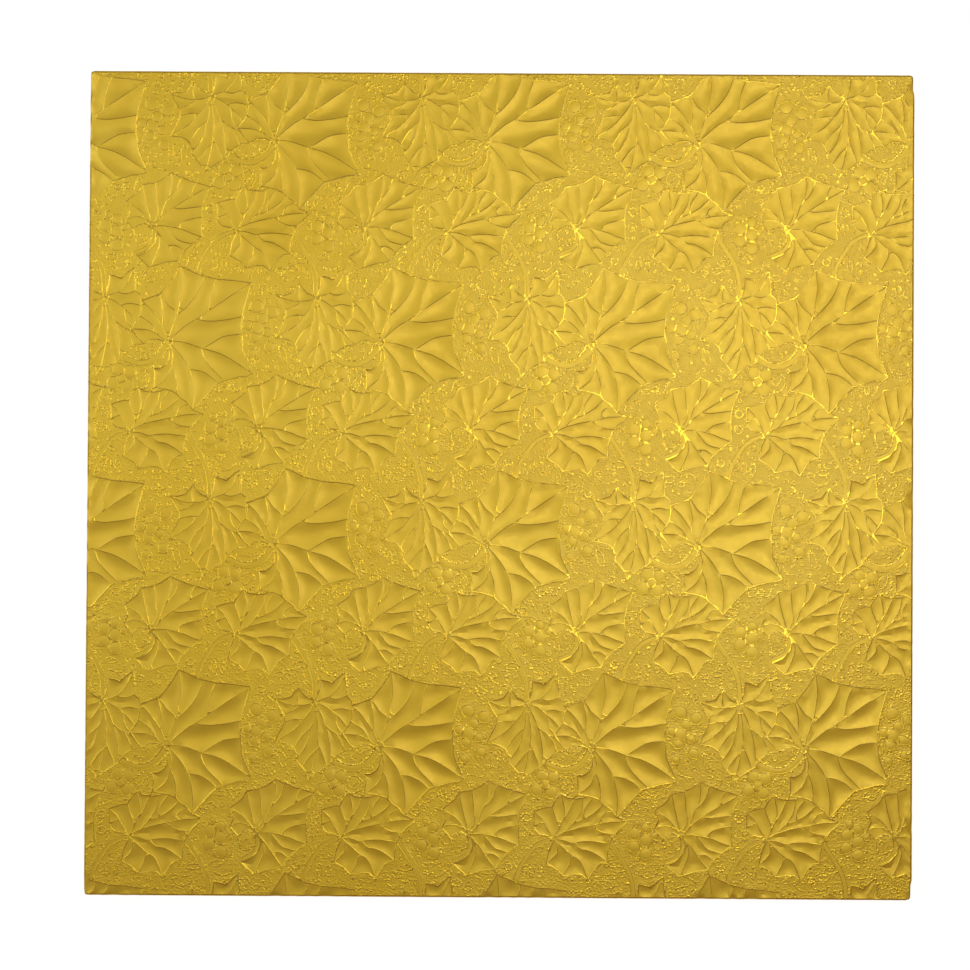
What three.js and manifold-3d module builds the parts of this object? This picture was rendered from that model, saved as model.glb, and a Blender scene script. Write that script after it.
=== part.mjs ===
// Square cake board: a stiff pad wrapped in vine-embossed gold foil paper, with a paper liner underneath.
// Millimetres, +Z up, the origin at the middle of the underside, +Y towards the far edge of the board.
import * as THREE from 'three';
import { mergeVertices } from 'three/addons/utils/BufferGeometryUtils.js';
import Module from 'manifold-3d';

const wasm = await Module();
wasm.setup();
const { Manifold, Mesh } = wasm;

// The pad
const CORE_SIDE = 252.6;
const CORE_THICKNESS = 5.2;
const CORE_EDGE_RADIUS = 0.6;
const CORE_CORNER_RADIUS = 1.2;

// The foil paper and how it is wrapped
const FOIL_THICKNESS = 0.3;
const WRAP_EASE = 0.3; // slack between the pad's edge and the foil
const HEM_WIDTH = 20; // foil turned in on the underside, from the pad's edge
const MITRE_GAP = 0.5; // between the hems where they meet at a corner
const MITRE_START = 3; // uncut foil at the board's corner, along each side
const TUCK_LENGTH = 4.6; // the corner pinch that the side hems cover, from the corner
const TUCK_RAMP = 1.6;
const TUCK_STEP = 0.4; // how far the side hems stand proud of the pinch

// The liner
const LINER_THICKNESS = 0.15;
const LINER_MARGIN = 7; // gold showing round the liner
const LINER_CORNER_RADIUS = 1;

// The embossing: a half-drop repeat, drawn at full size for a repeat 65.2 wide
const REPEAT_ACROSS = 65.2;
const REPEAT_DOWN = 62.1;
const HALF_DROP_SHIFT = 32.9;
const FIRST_LEAF = [-69.9, 105.7]; // base of a large leaf, from the middle of the board
const DRAWN_REPEAT = 65.2;
const EMBOSS_HEIGHT = 0.4;
const GRAPE_HEIGHT = 0.38;
const GRAPE_CROWN = 0.1; // the rise from a grape's shoulder to its top
const STALK_WIDTH = 1.5;
const STALK_HEIGHT = 0.3;
const EMBOSS_MARGIN = 0.3; // from the embossing to where the top starts to round over
const EMBOSS_ROOT = 0.1; // how deep each raised form reaches into the sheet
const GRAPE_SIDES = 5;
const GRAPE_SHOULDER = 0.6; // share of a grape's radius where its side turns over into its crown
const STALK_STEPS = 3;

const FINE = 0.001;

// Heights, from the underside up
const hemBottom = LINER_THICKNESS;
const coreBottom = hemBottom + FOIL_THICKNESS;
const coreTop = coreBottom + CORE_THICKNESS;
const groundTop = coreTop + FOIL_THICKNESS;
const crestTop = groundTop + EMBOSS_HEIGHT;

// Half widths, from the middle out
const coreHalf = CORE_SIDE / 2;
const cavityHalf = coreHalf + WRAP_EASE;
const wrapHalf = cavityHalf + FOIL_THICKNESS;

// Where a vein ends on a leaf's rim, the rim is high; the point after each is the valley beside it.
const LARGE_LEAF = {
  base: [0, 0],
  rim: [
    [-8.3, 12.1], [0, 15], [3.4, 22.2], [7.4, 18.9], [14.7, 19.1], [18.6, 16.6],
    [25.5, 17.9], [22.4, 8.6], [22.4, 2.2], [22, -4.2], [26.1, -10.4], [13.8, -12.8],
    [7.9, -20.6], [5.2, -16.8], [2.8, -16.1], [0.4, -12.4], [-4.2, -14.5],
    [-2.2, -4.8], [-3.6, 0.3], [-8.2, 1.6], [-10.9, 4.1], [-8.6, 7.4],
  ],
};
const HANGING_LEAF = {
  base: [-19.8, 13.4],
  rim: [
    [-24.9, 17.6], [-26.4, 14.7], [-32.2, 14.2], [-29.2, 8.9], [-32.3, 1.1], [-26.6, 1],
    [-25.6, -4.4], [-22.8, -4.6], [-21.4, -10.2], [-18.6, -6.2], [-15.4, -6], [-13.4, -2.6], [-9.4, -1.2], [-12, 3.6],
    [-9.6, 8.4], [-10.2, 12], [-10.7, 22.2], [-15.8, 18],
  ],
};
const SMALL_LEAF = {
  base: [-11.5, -28],
  rim: [
    [-17.1, -19.4], [-13.2, -19.6], [-10.8, -16.4], [-8.2, -17.6], [-4.4, -15.8], [2.6, -19.4],
    [11, -22.7], [5.6, -25.2], [4.9, -29.2], [2.4, -31.8],
    [4.9, -35.4], [0.6, -36], [-1.6, -41.1], [-5.4, -38.2], [-9.8, -38.8], [-12.2, -31],
    [-15.2, -27], [-14.6, -24.2],
  ],
};
const TURNED_LEAF = {
  base: [27.4, -26.6],
  rim: [
    [20.1, -18.9], [26.4, -16.2], [33.5, -10.4], [37, -14.4],
    [45, -14.5], [41.4, -18.6], [42.5, -22.4], [40.6, -25.4], [43, -30.2], [38.4, -31.2],
    [35.4, -37.4], [31.4, -35.8], [27, -39.5], [25.6, -32.6], [22.3, -35.2], [24.2, -29.6],
    [20.6, -26.4], [21.6, -22],
  ],
};

// Each grape: centre and radius
const GRAPES = [
  [27.2, 10.9, 2], [32.3, 9.3, 2], [28.9, 6.7, 1.8], [27, 2.9, 2], [31.2, -1.3, 1.9],
  [-16.2, -8.4, 2], [-12.1, -9.9, 1.8], [-16.4, -13.1, 2], [-12.3, -13.8, 1.8],
  [13.2, -26.3, 1.9], [13.1, -30.5, 1.9], [17.1, -28.6, 1.9], [16.9, -32.8, 1.9],
];

// Each stalk's line, from its leaf's base
const STALKS = [
  [[-0.4, -1.4], [-2.6, -4.6], [-6.4, -6.8], [-10.2, -6.8], [-13, -5.3]],
  [[-19.9, 14.4], [-20.3, 19.4], [-21.8, 24.8], [-24, 29], [-26, 32]],
  [[-12.6, -28.4], [-16.6, -30], [-20.2, -33.8], [-22.6, -38.2], [-23.5, -41.2]],
];

// Points are snapped to a fine grid and welded, so that faces drawn at one height stay at one height
const welded = (positions, index) => {
  const geometry = new THREE.BufferGeometry();
  const snapped = Float32Array.from(positions, (value) => Math.round(value / FINE) * FINE);
  geometry.setAttribute('position', new THREE.BufferAttribute(snapped, 3));
  geometry.setIndex(index);
  return mergeVertices(geometry, FINE / 10);
};

const toSolid = (geometry) => {
  const index = geometry.index ? [...geometry.index.array] : null;
  const closed = welded(geometry.attributes.position.array, index);
  return new Manifold(new Mesh({
    numProp: 3,
    vertProperties: closed.attributes.position.array,
    triVerts: Uint32Array.from(closed.index.array),
  }));
};

// Corners that the cutting left closer together than the grid become one, and the slivers between them go
const toGeometry = (solid) => {
  const mesh = solid.getMesh();
  const geometry = welded(mesh.vertProperties, [...mesh.triVerts]);
  const corners = geometry.index.array;
  const kept = [];
  for (let i = 0; i < corners.length; i += 3) {
    const [a, b, c] = corners.slice(i, i + 3);
    if (a !== b && b !== c && c !== a) kept.push(a, b, c);
  }
  geometry.setIndex(kept);
  geometry.computeVertexNormals();
  return geometry;
};

// A rounded square, for the pad, the space inside the wrap and the liner
const roundedSquare = (half, radius) => {
  const inner = half - radius;
  const shape = new THREE.Shape();
  shape.moveTo(-inner, -half);
  shape.absarc(inner, -inner, radius, -Math.PI / 2, 0);
  shape.absarc(inner, inner, radius, 0, Math.PI / 2);
  shape.absarc(-inner, inner, radius, Math.PI / 2, Math.PI);
  shape.absarc(-inner, -inner, radius, Math.PI, Math.PI * 1.5);
  shape.closePath();
  return shape;
};

// The wrap's outline: square corners pinched tight, and the two side hems proud of the pinch
const wrapOutline = () => {
  const radius = CORE_CORNER_RADIUS + WRAP_EASE + FOIL_THICKNESS;
  const inner = wrapHalf - radius;
  const proud = wrapHalf + TUCK_STEP;
  const tuckEnd = wrapHalf - TUCK_LENGTH;
  const rampEnd = tuckEnd - TUCK_RAMP;
  const shape = new THREE.Shape();
  shape.moveTo(-inner, -wrapHalf);
  shape.absarc(inner, -inner, radius, -Math.PI / 2, 0);
  shape.lineTo(wrapHalf, -tuckEnd);
  shape.lineTo(proud, -rampEnd);
  shape.lineTo(proud, rampEnd);
  shape.lineTo(wrapHalf, tuckEnd);
  shape.absarc(inner, inner, radius, 0, Math.PI / 2);
  shape.absarc(-inner, inner, radius, Math.PI / 2, Math.PI);
  shape.lineTo(-wrapHalf, tuckEnd);
  shape.lineTo(-proud, rampEnd);
  shape.lineTo(-proud, -rampEnd);
  shape.lineTo(-wrapHalf, -tuckEnd);
  shape.absarc(-inner, -inner, radius, Math.PI, Math.PI * 1.5);
  shape.closePath();
  return shape;
};

// A slab between two heights whose top and bottom edges are rounded over
const softSlab = (shape, bottom, top, edgeRadius) => {
  const geometry = new THREE.ExtrudeGeometry(shape, {
    depth: top - bottom - 2 * edgeRadius,
    bevelThickness: edgeRadius,
    bevelSize: edgeRadius,
    bevelOffset: -edgeRadius,
    bevelSegments: 2,
    curveSegments: 3,
  });
  return geometry.translate(0, 0, bottom + edgeRadius);
};

// A flat sheet with square-cut edges
const sheet = (shape, bottom, top) => {
  const geometry = new THREE.ExtrudeGeometry(shape, { depth: top - bottom, bevelEnabled: false, curveSegments: 3 });
  return geometry.translate(0, 0, bottom);
};

const motifScale = REPEAT_ACROSS / DRAWN_REPEAT;
const embossRoot = groundTop - EMBOSS_ROOT;

// A closed solid between a level floor and a roof fanned out from one peak over a ring of rim points
const fanSolid = (peak, rim) => {
  const clockwise = THREE.ShapeUtils.area(rim.map(([x, y]) => new THREE.Vector2(x, y))) < 0;
  const ring = clockwise ? [...rim].reverse() : rim;
  const count = ring.length;
  const positions = [...peak, peak[0], peak[1], embossRoot];
  ring.forEach(([x, y, z]) => positions.push(x, y, z, x, y, embossRoot));
  const index = [];
  for (let i = 0; i < count; i += 1) {
    const high = 2 + 2 * i;
    const nextHigh = 2 + 2 * ((i + 1) % count);
    const falling = ring[i][2] > ring[(i + 1) % count][2];
    index.push(0, high, nextHigh);
    index.push(1, nextHigh + 1, high + 1);
    index.push(high, high + 1, falling ? nextHigh : nextHigh + 1);
    index.push(falling ? high + 1 : high, nextHigh + 1, nextHigh);
  }
  const geometry = new THREE.BufferGeometry();
  geometry.setAttribute('position', new THREE.Float32BufferAttribute(positions, 3));
  geometry.setIndex(index);
  return geometry;
};

// A palmate leaf: crests run from its base to the vein ends, with a valley between each two
const leaf = ({ base, rim }) => {
  const peak = [base[0] * motifScale, base[1] * motifScale, crestTop];
  const ring = rim.map(([x, y], i) => {
    const height = i % 2 === 0 ? EMBOSS_HEIGHT : 0;
    return [x * motifScale, y * motifScale, groundTop + height];
  });
  return fanSolid(peak, ring);
};

// A grape: a low dome, made as a turned profile
const grape = ([x, y, radius]) => {
  const size = radius * motifScale;
  const profile = [
    new THREE.Vector2(0, -EMBOSS_ROOT),
    new THREE.Vector2(size, -EMBOSS_ROOT),
    new THREE.Vector2(size, 0),
    new THREE.Vector2(size * GRAPE_SHOULDER, GRAPE_HEIGHT - GRAPE_CROWN),
    new THREE.Vector2(0, GRAPE_HEIGHT),
  ];
  const geometry = new THREE.LatheGeometry(profile, GRAPE_SIDES);
  geometry.rotateX(Math.PI / 2);
  return geometry.translate(x * motifScale, y * motifScale, groundTop);
};

// A stalk: a low ridge along a curve through the drawn points
const stalk = (points) => {
  const line = new THREE.SplineCurve(points.map(([x, y]) => new THREE.Vector2(x * motifScale, y * motifScale)));
  const half = (STALK_WIDTH * motifScale) / 2;
  const positions = [];
  for (let i = 0; i <= STALK_STEPS; i += 1) {
    const at = line.getPoint(i / STALK_STEPS);
    const along = line.getTangent(i / STALK_STEPS);
    const side = new THREE.Vector2(-along.y, along.x).multiplyScalar(half);
    positions.push(at.x - side.x, at.y - side.y, embossRoot);
    positions.push(at.x + side.x, at.y + side.y, embossRoot);
    positions.push(at.x, at.y, groundTop + STALK_HEIGHT);
  }
  const ringSize = 3;
  const index = [];
  for (let i = 0; i < STALK_STEPS; i += 1) {
    for (let k = 0; k < ringSize; k += 1) {
      const a = i * ringSize + k;
      const b = i * ringSize + ((k + 1) % ringSize);
      index.push(a, b, b + ringSize);
      index.push(a, b + ringSize, a + ringSize);
    }
  }
  const last = STALK_STEPS * ringSize;
  for (let k = 1; k < ringSize - 1; k += 1) {
    index.push(0, k + 1, k);
    index.push(last, last + k, last + k + 1);
  }
  const geometry = new THREE.BufferGeometry();
  geometry.setAttribute('position', new THREE.Float32BufferAttribute(positions, 3));
  geometry.setIndex(index);
  return geometry;
};

// One repeat of the roller's drawing
const motif = () => {
  const leaves = [LARGE_LEAF, HANGING_LEAF, SMALL_LEAF, TURNED_LEAF].map((drawn) => toSolid(leaf(drawn)));
  const bunches = GRAPES.map((drawn) => toSolid(grape(drawn)));
  const stalks = STALKS.map((drawn) => toSolid(stalk(drawn)));
  return Manifold.union([...leaves, ...bunches, ...stalks]);
};

// The drawing repeated over the whole board, rows of repeats each shifted by half a repeat
const embossing = () => {
  const one = motif();
  const box = one.boundingBox();
  const reach = wrapHalf + TUCK_STEP;
  const rows = Math.ceil((2 * reach) / REPEAT_DOWN) + 2;
  const columns = Math.ceil((2 * reach + rows * HALF_DROP_SHIFT) / REPEAT_ACROSS) + 2;
  const copies = [];
  for (let row = -rows; row <= rows; row += 1) {
    for (let column = -columns; column <= columns; column += 1) {
      const dx = FIRST_LEAF[0] + column * REPEAT_ACROSS + row * HALF_DROP_SHIFT;
      const dy = FIRST_LEAF[1] - row * REPEAT_DOWN;
      const misses = box.min[0] + dx > reach || box.max[0] + dx < -reach
        || box.min[1] + dy > reach || box.max[1] + dy < -reach;
      if (!misses) copies.push(one.translate([dx, dy, 0]));
    }
  }
  return Manifold.union(copies);
};

// The turned-in hems meet at a slit along each diagonal of the underside
const mitres = () => {
  const from = (wrapHalf - MITRE_START) * Math.SQRT2;
  const to = (coreHalf - HEM_WIDTH) * Math.SQRT2 - 2 * MITRE_GAP;
  const depth = 2 * FOIL_THICKNESS;
  return [1, 3, 5, 7].map((quarter) => {
    const slit = new THREE.BoxGeometry(from - to, MITRE_GAP, depth);
    slit.translate((from + to) / 2, 0, hemBottom);
    slit.rotateZ((quarter * Math.PI) / 4);
    return toSolid(slit);
  });
};

const foilWrap = () => {
  const outerRadius = CORE_EDGE_RADIUS + FOIL_THICKNESS;
  const body = toSolid(softSlab(wrapOutline(), hemBottom, groundTop, outerRadius));
  const topHalf = wrapHalf - outerRadius - EMBOSS_MARGIN;
  const limits = toSolid(sheet(roundedSquare(topHalf, CORE_CORNER_RADIUS), coreTop, crestTop + EMBOSS_ROOT));
  const raised = embossing().intersect(limits);
  const cavityRadius = CORE_CORNER_RADIUS + WRAP_EASE;
  const cavity = toSolid(softSlab(roundedSquare(cavityHalf, cavityRadius), coreBottom, coreTop, CORE_EDGE_RADIUS));
  const windowHalf = coreHalf - HEM_WIDTH;
  const window = toSolid(sheet(roundedSquare(windowHalf, FINE), hemBottom - FOIL_THICKNESS, coreTop - CORE_EDGE_RADIUS));
  return toGeometry(body.add(raised).subtract(Manifold.union([cavity, window, ...mitres()])));
};

const coreBoard = () => softSlab(roundedSquare(coreHalf, CORE_CORNER_RADIUS), coreBottom, coreTop, CORE_EDGE_RADIUS);

const basePaper = () => sheet(roundedSquare(coreHalf - LINER_MARGIN, LINER_CORNER_RADIUS), 0, LINER_THICKNESS);

const gold = new THREE.MeshStandardMaterial({ color: 0xd4a72f, metalness: 1, roughness: 0.38 });
const greyboard = new THREE.MeshStandardMaterial({ color: 0xa08c70, metalness: 0, roughness: 0.9 });
const whitePaper = new THREE.MeshStandardMaterial({ color: 0xf2f0ea, metalness: 0, roughness: 0.85 });

const piece = (name, geometry, material) => {
  const mesh = new THREE.Mesh(geometry, material);
  mesh.name = name;
  return mesh;
};

const cakeBoard = new THREE.Group();
cakeBoard.add(piece('core_board', coreBoard(), greyboard));
cakeBoard.add(piece('foil_wrap', foilWrap(), gold));
cakeBoard.add(piece('base_paper', basePaper(), whitePaper));

export default cakeBoard;
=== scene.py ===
import math

import bmesh
import bpy
import numpy as np
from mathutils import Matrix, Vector
from mathutils.bvhtree import BVHTree
from mathutils.geometry import delaunay_2d_cdt


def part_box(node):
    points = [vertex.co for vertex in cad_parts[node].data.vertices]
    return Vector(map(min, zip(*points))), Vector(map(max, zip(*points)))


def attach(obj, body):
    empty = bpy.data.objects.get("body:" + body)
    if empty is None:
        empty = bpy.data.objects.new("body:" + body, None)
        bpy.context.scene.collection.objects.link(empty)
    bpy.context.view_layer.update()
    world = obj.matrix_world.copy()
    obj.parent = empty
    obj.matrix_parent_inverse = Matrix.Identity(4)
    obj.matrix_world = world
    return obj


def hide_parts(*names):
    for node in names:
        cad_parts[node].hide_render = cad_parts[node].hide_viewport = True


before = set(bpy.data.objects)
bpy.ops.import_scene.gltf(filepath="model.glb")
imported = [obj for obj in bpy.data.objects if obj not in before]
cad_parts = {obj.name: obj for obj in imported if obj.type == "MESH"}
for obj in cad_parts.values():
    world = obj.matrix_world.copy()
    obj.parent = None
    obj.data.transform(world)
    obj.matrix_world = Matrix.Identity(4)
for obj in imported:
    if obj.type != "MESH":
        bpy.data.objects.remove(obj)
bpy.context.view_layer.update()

# The foil's embossing
# One sheet of gold foil laminated to paper, pressed between engraved rollers before it is wrapped:
# vine leaves with veins as sharp crests, bunches of grapes, tendril lines and a stippled ground.
MM = 0.001  # sizes are in millimetres until a mesh, a material or a lamp takes them in metres
repeat_right = np.array((65.2, 0.0))
repeat_down = np.array((32.9, -62.1))
first_leaf = np.array((-69.9, 105.7))  # the base of one large leaf, from the board's middle
cell_corner = np.array((-33.0, 30.0))  # where the unit of the repeat starts, from that base
cell_size = 62.0
near_share = 1 / 15  # how far outside the unit a line still counts, in repeats
crest_height = 0.05
trough_share = 0.046  # sag for each millimetre between two crests
deepest_trough = 0.40
widest_span = 9.0
grape_height = 0.12
grape_swell = 1.06
crown_share = 0.55
stalk_height = 0.05
bud_height = 0.05
bud_shoulder = 1.2
bud_side = 0.2  # buds count as lying outside the outlines, so they are stippled
soft_edge = 0.05
line_step = 1.4
fill_step = 1.65  # between the plain points that fill the ground
fill_clearance = 0.6
fill_rows = (-40, 140)
middle_clearance = 0.2
same_point = 0.1  # points that are nearer become one
on_line = 0.03
touch = 0.02
far_off = 1e9
line_reach = 3.0  # no place counts as further than this from a burnished line
vein_thinner = 0.08

leaves = {
    "large": dict(
        rim=[
            (3.5, 23.1), (9.8, 20.3), (14.8, 19.1), (20, 18.7), (25.5, 18), (23.8, 12.3), (22.9, 8.9),
            (22.4, 4.8), (22.6, 1.8), (23, -3), (23.9, -5.2), (25.2, -8), (26, -10.1), (24.5, -10.8),
            (21.8, -11.1), (19, -11.9), (16.9, -12.5), (15.3, -13), (13.2, -15.2), (10.9, -17.7),
            (8.6, -20.5), (7.7, -21.2), (6.4, -19.5), (3.7, -17.3), (2.5, -16.2), (0.7, -15.3),
            (-1.1, -14.9), (-4.3, -14.4), (-4.1, -10.7), (-4.4, -8.7), (-2.5, -8.6), (-0.7, -7.4),
            (0.2, -5.7), (0.3, -3), (-0.3, -1.5), (-1.3, -0.3), (-3, 0.5), (-5.7, 0.3), (-7.5, -1),
            (-9.6, 1.1), (-11.4, 3.9), (-9.9, 5.9), (-8.9, 7.5), (-8.45, 9.5), (-8.4, 12.3), (-7.1, 12.8),
            (-4.6, 13.7), (-2.7, 14.5), (-1.4, 15.7), (0.4, 18), (2, 20.5),
        ],
        veins=[
            [(0, 0), (5.6, 4.9), (8.6, 6.7), (14.6, 10.8), (20, 14.5), (25.3, 17.8)],
            [(8.6, 6.7), (12.8, 6.1), (18, 6.6), (22.5, 7.5)],
            [(12.4, 10), (12.8, 13), (13.5, 16), (14.8, 19)],
            [(0, 0), (0.7, 3), (1.7, 5.6), (2.5, 7.6), (5.3, 10.2), (8.1, 13.5), (9.9, 16.8),
             (10.9, 19.8)],
            [(2.5, 7.6), (3.1, 9.9), (3.5, 13.2), (4, 17), (3.6, 22.9)],
            [(2.2, 7), (2.4, 9), (0.1, 10.7), (-1.25, 12.7), (-2.3, 14.3)],
            [(0, 0), (-0.9, 2.3), (-2.2, 5), (-4.8, 8.8), (-6.4, 10.6), (-8.2, 12.2)],
            [(-2, 4.8), (-1.8, 7), (-2, 10.6), (-2.8, 13.9)],
            [(0, 0), (-2.7, 1.4), (-4, 3.6), (-5.5, 5.4), (-8.7, 7.6)],
            [(-2.5, 1.3), (-6, 3.2), (-11.1, 3.6)],
            [(0, 0), (5, -0.5), (10.9, -2.4), (15.5, -3.7), (20, -6), (25.8, -9.9)],
            [(10.9, -2.3), (14.8, 0.2), (17.4, 1.5), (22.3, 2.2)],
            [(10.2, -2.2), (10.8, -4.6), (11.8, -6.5), (13.2, -8.2), (15.2, -10.2), (17.3, -12.2)],
            [(0, 0), (2, -2.2), (4.1, -4.7), (5.7, -7), (6.7, -9), (7.4, -11.5), (7.8, -14.1),
             (8, -16.8), (7.7, -21)],
            [(6.7, -8.8), (10, -9.3), (12.5, -10.5), (15.2, -12.8)],
            [(0, 0), (1, -2.5), (1.4, -5), (1.1, -7.4), (2.1, -9.6), (2.7, -12.5), (2.9, -16)],
            [(1.1, -7.7), (0.4, -9.8), (-0.7, -11.8), (-3.8, -14.3)],
        ],
    ),
    "hanging": dict(
        rim=[
            (-18.2, 20.2), (-16.2, 19.8), (-14.6, 19.1), (-13, 20.7), (-11.5, 22), (-10.7, 22.4),
            (-10.3, 17.7), (-10.2, 15.4), (-8.7, 14.1), (-8.4, 12.3), (-8.45, 9.5), (-8.9, 7.5),
            (-9.9, 5.9), (-11.4, 3.9), (-9.6, 1.1), (-7.5, -1), (-10.5, -1.5), (-12.3, -2.4),
            (-13.6, -3.6), (-15, -5.8), (-16.2, -6.5), (-17.5, -7.2), (-19.8, -8.7), (-21.7, -10.8),
            (-22.5, -8.2), (-23.9, -6.4), (-25.6, -4.4), (-25.4, -3.6), (-26, -1.4), (-27.3, 0),
            (-28.9, 0.7), (-32.1, 1.1), (-31.2, 3.2), (-30, 5.4), (-29.2, 7.3), (-29.1, 9.1), (-30, 10.4),
            (-31.2, 12.5), (-32.1, 14.3), (-29.4, 14.3), (-27.3, 14.9), (-26.2, 16.4), (-24.7, 18),
            (-23.9, 16.4), (-22.5, 15), (-21, 14.3), (-20.2, 13.8), (-19.2, 14.8), (-18.5, 17),
        ],
        veins=[
            [(-19.8, 13.4), (-22.1, 12.6), (-24.8, 12.4), (-27.8, 12.6), (-32, 14.1)],
            [(-24.3, 12.3), (-26.6, 10.7), (-29.4, 9.7)],
            [(-24.8, 12.5), (-25.2, 15), (-24.8, 17.6)],
            [(-19.8, 13.4), (-22.1, 9.5), (-24.4, 6.8), (-26, 5), (-28.5, 3.2), (-31.9, 1.2)],
            [(-23.4, 8), (-26, 8.1), (-29.1, 7.3)],
            [(-20.2, 10.7), (-20.4, 7.3), (-21.1, 5.6), (-22.8, 4.1), (-24.4, 2.3), (-26.2, -0.8)],
            [(-20.8, 6), (-21.6, 2.7), (-22.5, 0), (-25.4, -4.2)],
            [(-19.8, 13.4), (-18.9, 7.3), (-18.8, 3.9), (-18.9, 0.9), (-19.8, -4.1), (-20.5, -7.3),
             (-21.7, -10.6)],
            [(-18.8, 0.7), (-17.5, -2.3), (-16.4, -5), (-16.1, -6.3)],
            [(-19.5, -1.5), (-21.2, -3), (-23.6, -6.5)],
            [(-19.8, 13.4), (-18.2, 10.2), (-17.1, 7.7), (-16.4, 5.9), (-15.7, 3.2), (-15, -1.8),
             (-15, -5.6)],
            [(-16.4, 6.2), (-13.9, 4.1), (-11.4, 2.9), (-7.7, -1)],
            [(-13.5, 3.9), (-11.9, 1.6), (-10.7, -1.3)],
            [(-19.8, 13.4), (-17.5, 12.6), (-15.3, 11.2), (-13.5, 9.7), (-11.6, 8), (-10.1, 6.2)],
            [(-14.6, 10.8), (-12.3, 11.5), (-10, 11.2), (-8.6, 10.8)],
            [(-13.6, 9.7), (-13.2, 6.8), (-12.3, 5), (-11.3, 4)],
            [(-19.8, 13.4), (-16.9, 14.5), (-15.6, 15), (-13.9, 16.6), (-12.8, 18), (-10.8, 22)],
            [(-15.6, 14.9), (-13.4, 14.3), (-11.2, 14.9), (-10.1, 15.3)],
        ],
    ),
    "small": dict(
        rim=[
            (-17.6, -19.6), (-13.6, -18.4), (-12, -18.4), (-11.1, -16.6), (-10, -15), (-9.1, -14.5),
            (-7.3, -15.5), (-5, -15.8), (-2.3, -15.5), (-1.1, -14.9), (0.7, -15.3), (2.5, -16.2),
            (3.7, -17.3), (6.4, -19.5), (7.7, -21.2), (11, -22.5), (9.9, -23.9), (8.2, -25.2),
            (7.3, -26.6), (6.4, -27.6), (5.7, -29.5), (5.1, -31.8), (5, -35), (3, -35.4), (1.4, -36.6),
            (-1, -40.5), (-3, -38.9), (-5, -38.8), (-8.8, -39.6), (-10.2, -37.6), (-13.7, -35.6),
            (-13, -32), (-11.7, -28.9), (-13, -27.2), (-15.9, -26.6), (-17.3, -25.2), (-17.5, -22.7),
        ],
        veins=[
            [(-11.6, -28.1), (-9.1, -26.4), (-5.7, -25.2), (-2.7, -24.5), (2.5, -23.4), (5.2, -22.8),
             (10.8, -22.5)],
            [(-7.8, -25.8), (-5.7, -23.4), (-3.2, -22.5), (-0.2, -20.9), (1.8, -19.3), (3.6, -17.4)],
            [(2.5, -23.3), (3.2, -21.4), (4.5, -20), (6.4, -19.6)],
            [(0.2, -24), (1.8, -25.2), (4.1, -26.2), (7.2, -26.6)],
            [(-11.6, -28.1), (-8.2, -28.4), (-5.7, -29.3), (-3.4, -28.9), (0, -28.7), (3.4, -29.1),
             (5.7, -29.4)],
            [(-5, -29.2), (-3.2, -31.1), (0, -31.8), (4.9, -34.9)],
            [(-11.6, -28.1), (-8.2, -31.1), (-5.7, -33.2), (-3.2, -35), (-1.1, -40.2)],
            [(-6.3, -32.8), (-6.6, -35.4), (-8.6, -39.3)],
            [(-10.6, -29), (-10.4, -32.2), (-13.5, -35.5)],
            [(-11.6, -28.1), (-10, -25), (-10.5, -22.3), (-11.4, -20.5), (-11.8, -18.6)],
            [(-10, -25.4), (-8.6, -21.8), (-8.2, -19.3), (-9, -14.8)],
            [(-8.3, -22.2), (-6.8, -19.5), (-5.9, -17.3), (-5.2, -15.9)],
            [(-5.6, -23.3), (-3.2, -19.5), (-2.6, -15.7)],
            [(-2.4, -22.1), (-2, -18.9), (0.4, -15.4)],
            [(-11.6, -28.1), (-13.9, -24.1), (-15.2, -21.8), (-17.4, -19.8)],
            [(-14.6, -22.8), (-16.1, -23.5), (-17.4, -24.4)],
        ],
    ),
    "turned": dict(
        rim=[
            (19.5, -19.1), (21.8, -17.5), (23.6, -15.9), (24.5, -13.9), (27.9, -13.5), (30.6, -12.4),
            (33.6, -10.3), (36.3, -11.6), (39.7, -12.9), (43.1, -13.8), (45.4, -14.4), (44.7, -16.4),
            (43.6, -18.9), (42.9, -22.3), (42.9, -25.7), (43.1, -30), (41.7, -31), (39.9, -32.3),
            (37.9, -34.1), (36.7, -35.5), (35.7, -37.5), (32.2, -37.8), (26.9, -39.5), (23.2, -36),
            (26.2, -34.6), (28.6, -32), (29, -29.2), (28, -27.6), (25.2, -26.1), (23.4, -26.6),
            (22, -27.7), (19.4, -25), (20.6, -22.4),
        ],
        veins=[
            [(27.6, -26.7), (30.2, -24.6), (31.7, -22.8), (36.3, -19.7), (40.8, -16.9), (45.2, -14.5)],
            [(34, -21.1), (36.3, -21.4), (38.6, -21.2), (43.1, -20.6)],
            [(39.5, -17.7), (40.2, -15), (41.3, -13.4)],
            [(27.6, -26.7), (31.7, -26.7), (35.2, -27.3), (38.1, -28.2), (40.4, -29.2), (43, -30)],
            [(35.2, -27.3), (36.7, -25.7), (38.6, -24.8), (42.8, -23.8)],
            [(27.6, -26.7), (30.4, -29.8), (33.1, -33.7), (35.6, -37.2)],
            [(32.6, -32.8), (35.2, -32.8), (37.4, -34.4)],
            [(32.2, -26.9), (34, -29.1), (35.6, -31), (39.8, -32.2)],
            [(28.9, -28.3), (30, -31.4), (29.2, -34.8), (27.2, -39.2)],
            [(27.6, -26.7), (26.6, -22.7), (25.7, -19.3), (24.7, -14.2)],
            [(28, -25.6), (29.5, -22.7), (29.1, -19.3), (28.6, -13.3)],
            [(29.8, -24.9), (31.7, -19.5), (33.2, -16), (33.5, -10.6)],
            [(31.9, -19), (34.7, -16), (36.4, -11.8)],
            [(27.6, -26.7), (24.5, -22.7), (22.3, -20.9), (19.8, -19.2)],
            [(27.6, -26.7), (25.2, -24.5), (22.3, -23.9), (19.6, -24.8)],
        ],
    ),
}
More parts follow.
